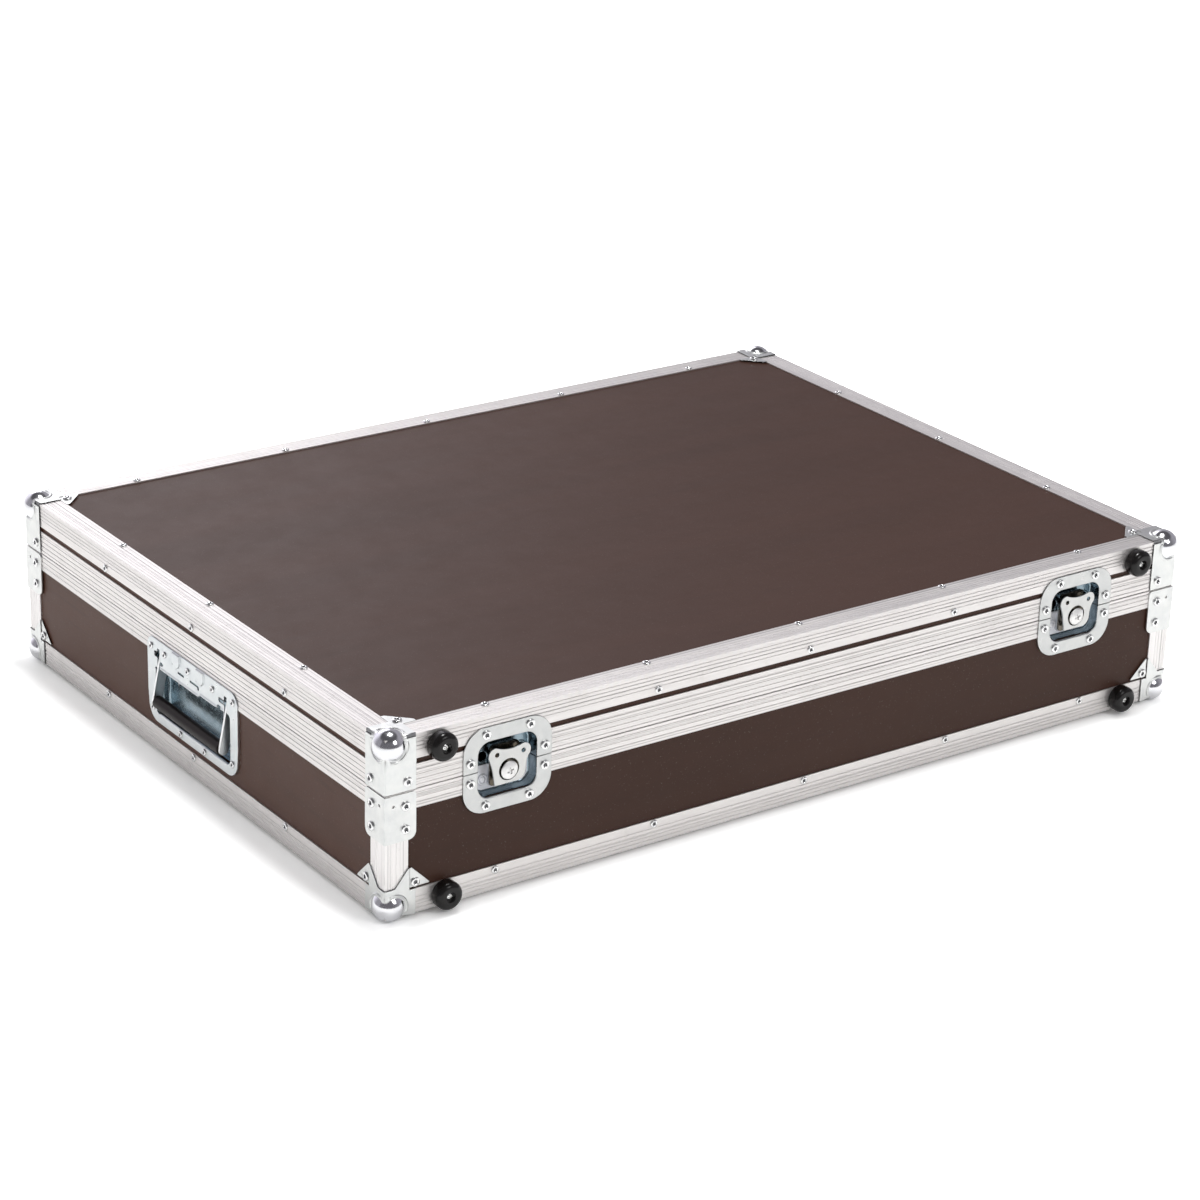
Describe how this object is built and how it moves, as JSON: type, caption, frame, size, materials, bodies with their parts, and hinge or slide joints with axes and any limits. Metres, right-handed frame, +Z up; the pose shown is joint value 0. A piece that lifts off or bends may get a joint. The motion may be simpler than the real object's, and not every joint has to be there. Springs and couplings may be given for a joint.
{
  "type": "dj controller case",
  "caption": "Flat road case with hinged lid, recessed turn latches, sprung side handles, ball corners, metal edges, rubber feet and foam padding.",
  "frame": {"origin": "bottom centre of the bounding box, on the floor", "axes": "+Z up, the latch side faces -Y, the hinges are at +Y, X runs along the width"},
  "size_m": [0.8748, 0.66, 0.1696],
  "materials": {
    "plywood": "phenolic film, satin",
    "aluminium": "brushed",
    "zinc_steel": "zinc plated",
    "rubber": "matt",
    "foam": "matt"
  },
  "bodies": {
    "base": {"base_floor_panel": "plywood", "base_front_panel": "plywood", "base_back_panel": "plywood", "base_side_panels": "plywood", "base_edge_angle_front": "aluminium", "base_edge_angle_back": "aluminium", "base_edge_angles_side": "aluminium", "base_corner_posts": "aluminium", "base_rim_front": "aluminium", "base_rim_back": "aluminium", "base_rims_side": "aluminium", "base_ball_corners": "zinc_steel", "base_corner_braces": "zinc_steel", "base_edge_rivets": "zinc_steel", "base_corner_rivets": "zinc_steel", "base_feet": "rubber", "base_foot_screws": "zinc_steel", "base_floor_foam": "foam", "base_side_foams": "foam", "latch_left_lower_dish": "zinc_steel", "latch_right_lower_dish": "zinc_steel", "latch_lower_rivets": "zinc_steel", "handle_left_dish": "zinc_steel", "handle_right_dish": "zinc_steel", "handle_rivets": "zinc_steel", "handle_axles": "zinc_steel", "handle_springs": "zinc_steel", "hinge_base_leaves": "zinc_steel", "hinge_pins": "zinc_steel"},
    "lid": {"lid_top_panel": "plywood", "lid_front_panel": "plywood", "lid_back_panel": "plywood", "lid_side_panels": "plywood", "lid_edge_angle_front": "aluminium", "lid_edge_angle_back": "aluminium", "lid_edge_angles_side": "aluminium", "lid_rim_front": "aluminium", "lid_rim_back": "aluminium", "lid_rims_side": "aluminium", "lid_ball_corners": "zinc_steel", "lid_edge_rivets": "zinc_steel", "lid_corner_rivets": "zinc_steel", "lid_feet": "rubber", "lid_foot_screws": "zinc_steel", "lid_foam": "foam", "latch_left_upper_dish": "zinc_steel", "latch_right_upper_dish": "zinc_steel", "latch_upper_rivets": "zinc_steel", "hinge_lid_leaves": "zinc_steel"},
    "latch_left_spindle": {"latch_left_spindle": "zinc_steel"},
    "latch_left_wing": {"latch_left_wing": "zinc_steel"},
    "latch_left_hook": {"latch_left_hook": "zinc_steel"},
    "handle_left_bail": {"handle_left_bail": "zinc_steel", "handle_left_grip": "rubber"},
    "latch_right_spindle": {"latch_right_spindle": "zinc_steel"},
    "latch_right_wing": {"latch_right_wing": "zinc_steel"},
    "latch_right_hook": {"latch_right_hook": "zinc_steel"},
    "handle_right_bail": {"handle_right_bail": "zinc_steel", "handle_right_grip": "rubber"}
  },
  "joints": [
    {"name": "lid_open", "type": "hinge", "parent": "base", "child": "lid", "pos_m": [0, 0.324, 0.1161], "axis": [-1, 0, 0], "range_deg": [0, 105]},
    {"name": "latch_left_turn", "type": "hinge", "parent": "base", "child": "latch_left_spindle", "pos_m": [-0.3116, -0.318, 0.1121], "axis": [0, -1, 0], "range_deg": [0, 180]},
    {"name": "latch_left_wing_fold", "type": "hinge", "parent": "latch_left_spindle", "child": "latch_left_wing", "pos_m": [-0.3116, -0.3173, 0.1029], "axis": [1, 0, 0], "range_deg": [0, 90]},
    {"name": "latch_left_hook_slide", "type": "slide", "parent": "base", "child": "latch_left_hook", "axis": [0, 0, 1], "range_m": [0, 0.006]},
    {"name": "handle_left_swing", "type": "hinge", "parent": "base", "child": "handle_left_bail", "pos_m": [-0.4228, 0, 0.0977], "axis": [0, 1, 0], "range_deg": [0, 90], "stiffness_Nm_per_rad": 0.25, "springref_deg": -17.19},
    {"name": "latch_right_turn", "type": "hinge", "parent": "base", "child": "latch_right_spindle", "pos_m": [0.3064, -0.318, 0.1121], "axis": [0, -1, 0], "range_deg": [0, 180]},
    {"name": "latch_right_wing_fold", "type": "hinge", "parent": "latch_right_spindle", "child": "latch_right_wing", "pos_m": [0.3064, -0.3173, 0.1029], "axis": [1, 0, 0], "range_deg": [0, 90]},
    {"name": "latch_right_hook_slide", "type": "slide", "parent": "base", "child": "latch_right_hook", "axis": [0, 0, 1], "range_m": [0, 0.006]},
    {"name": "handle_right_swing", "type": "hinge", "parent": "base", "child": "handle_right_bail", "pos_m": [0.4228, 0, 0.0977], "axis": [0, -1, 0], "range_deg": [0, 90], "stiffness_Nm_per_rad": 0.25, "springref_deg": -17.19}
  ],
  "couplings": [
    {"joint": "latch_left_hook_slide", "follows": "latch_left_turn", "m_per_rad": 0.0019098},
    {"joint": "latch_right_hook_slide", "follows": "latch_right_turn", "m_per_rad": 0.0019098}
  ]
}
